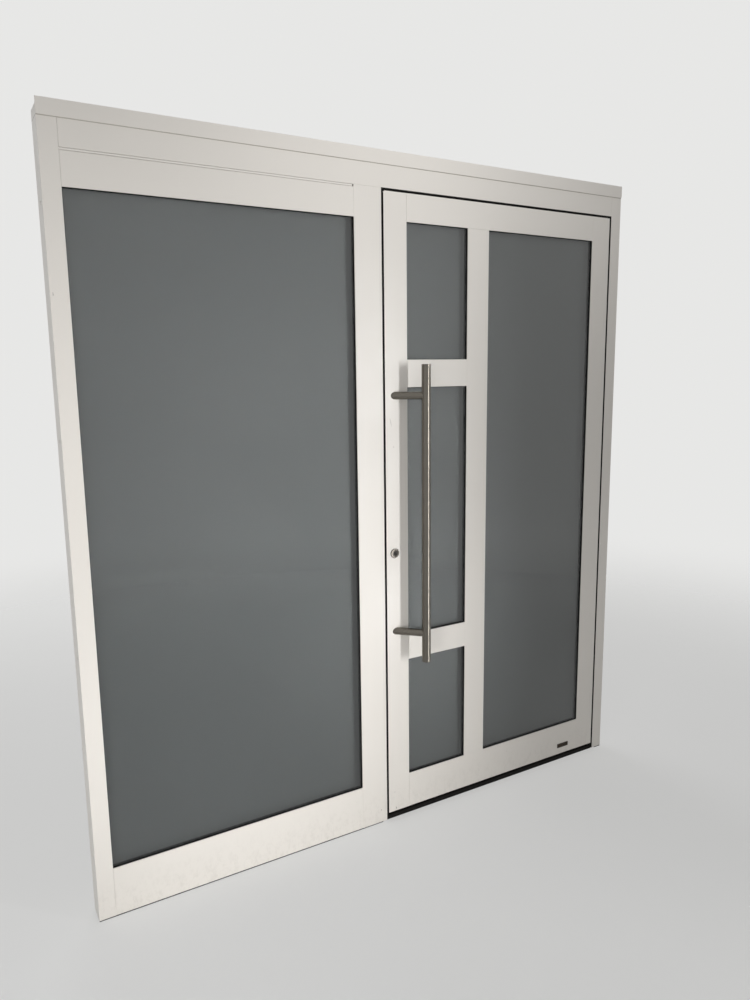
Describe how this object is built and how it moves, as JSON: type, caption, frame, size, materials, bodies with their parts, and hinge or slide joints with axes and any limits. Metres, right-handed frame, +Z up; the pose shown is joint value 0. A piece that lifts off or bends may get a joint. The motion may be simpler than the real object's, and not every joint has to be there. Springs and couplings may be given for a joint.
{
  "type": "glass entrance door",
  "caption": "White aluminium entrance door with a fixed side light, frosted panes, a long pull bar, lever lock and hinges, in its frame without the wall.",
  "frame": {"origin": "on the floor, under the middle of the mullion, at the middle of the frame's depth", "axes": "+Z up, +X along the wall to the hinge side, +Y inwards, so the outer face looks to -Y"},
  "size_m": [2.0334, 0.2145, 2.2435],
  "materials": {
    "white_paint": "satin powder coat, plain white",
    "white_filler": "matt white sealing strip",
    "clear_glass": "clear, glossy",
    "satin_glass": "frosted, grey green",
    "black_seal": "matt black",
    "black_spacer": "matt black",
    "black_brush": "black bristles in a black holder",
    "stainless": "brushed along its length",
    "nickel": "satin nickel",
    "zinc_steel": "zinc plated"
  },
  "bodies": {
    "frame": {"left_jamb": "white_paint", "mullion": "white_paint", "right_jamb": "white_paint", "head": "white_paint", "side_top_rail": "white_paint", "side_bottom_rail": "white_paint", "cover_strip": "white_paint", "joint_filler": "white_filler", "floor_packer": "black_seal", "floor_packer_hinge_side": "black_seal", "threshold": "black_seal", "stop_gasket": "black_seal", "strike_plate": "stainless", "side_outer_pane": "clear_glass", "side_inner_pane": "satin_glass", "side_spacer": "black_spacer", "side_outer_gasket": "black_seal", "side_inner_gasket": "black_seal", "side_glazing_beads": "white_paint", "hinge_lower_frame_part": "white_paint", "hinge_middle_frame_part": "white_paint", "hinge_upper_frame_part": "white_paint", "hinge_pins": "zinc_steel"},
    "leaf": {"leaf_lock_stile": "white_paint", "leaf_hinge_stile": "white_paint", "leaf_top_rail": "white_paint", "leaf_bottom_rail": "white_paint", "leaf_mid_stile": "white_paint", "leaf_lower_transom": "white_paint", "leaf_upper_transom": "white_paint", "bottom_brush": "black_brush", "leaf_lower_outer_pane": "clear_glass", "leaf_lower_inner_pane": "satin_glass", "leaf_middle_outer_pane": "clear_glass", "leaf_middle_inner_pane": "satin_glass", "leaf_upper_outer_pane": "clear_glass", "leaf_upper_inner_pane": "satin_glass", "leaf_tall_outer_pane": "clear_glass", "leaf_tall_inner_pane": "satin_glass", "leaf_spacers": "black_spacer", "leaf_outer_gaskets": "black_seal", "leaf_inner_gaskets": "black_seal", "leaf_glazing_beads": "white_paint", "pull_bar": "stainless", "pull_bar_lower_post": "stainless", "pull_bar_upper_post": "stainless", "lock_cylinder": "nickel", "cylinder_outer_ring": "stainless", "cylinder_inner_ring": "stainless", "lock_case": "zinc_steel", "lock_faceplate": "stainless", "lever_rosette": "stainless", "hinge_lower_leaf_part": "white_paint", "hinge_middle_leaf_part": "white_paint", "hinge_upper_leaf_part": "white_paint"},
    "lever": {"lever_handle": "stainless", "lever_spindle": "zinc_steel"},
    "latch": {"latch_bolt": "nickel"},
    "plug": {"cylinder_plug": "nickel"},
    "bolt": {"dead_bolt": "nickel"}
  },
  "joints": [
    {"name": "leaf_swing", "type": "hinge", "parent": "frame", "child": "leaf", "pos_m": [1.06625, 0.047, 1.075], "axis": [0, 0, -1], "range_deg": [0, 105]},
    {"name": "lever_turn", "type": "hinge", "parent": "leaf", "child": "lever", "pos_m": [0.08775, -0.01, 1.06], "axis": [0, 1, 0], "range_deg": [0, 40], "stiffness_Nm_per_rad": 1.2, "springref_deg": -22.92},
    {"name": "latch_slide", "type": "slide", "parent": "leaf", "child": "latch", "axis": [1, 0, 0], "range_m": [0, 0.012]},
    {"name": "key_turn", "type": "hinge", "parent": "leaf", "child": "plug", "pos_m": [0.08775, -0.01, 0.968], "axis": [0, -1, 0], "range_deg": [0, 360]},
    {"name": "bolt_slide", "type": "slide", "parent": "leaf", "child": "bolt", "axis": [-1, 0, 0], "range_m": [0, 0.02]}
  ],
  "couplings": [
    {"joint": "latch_slide", "follows": "lever_turn", "m_per_rad": 0.01715},
    {"joint": "key_turn", "follows": "bolt_slide", "rad_per_m": 314}
  ]
}
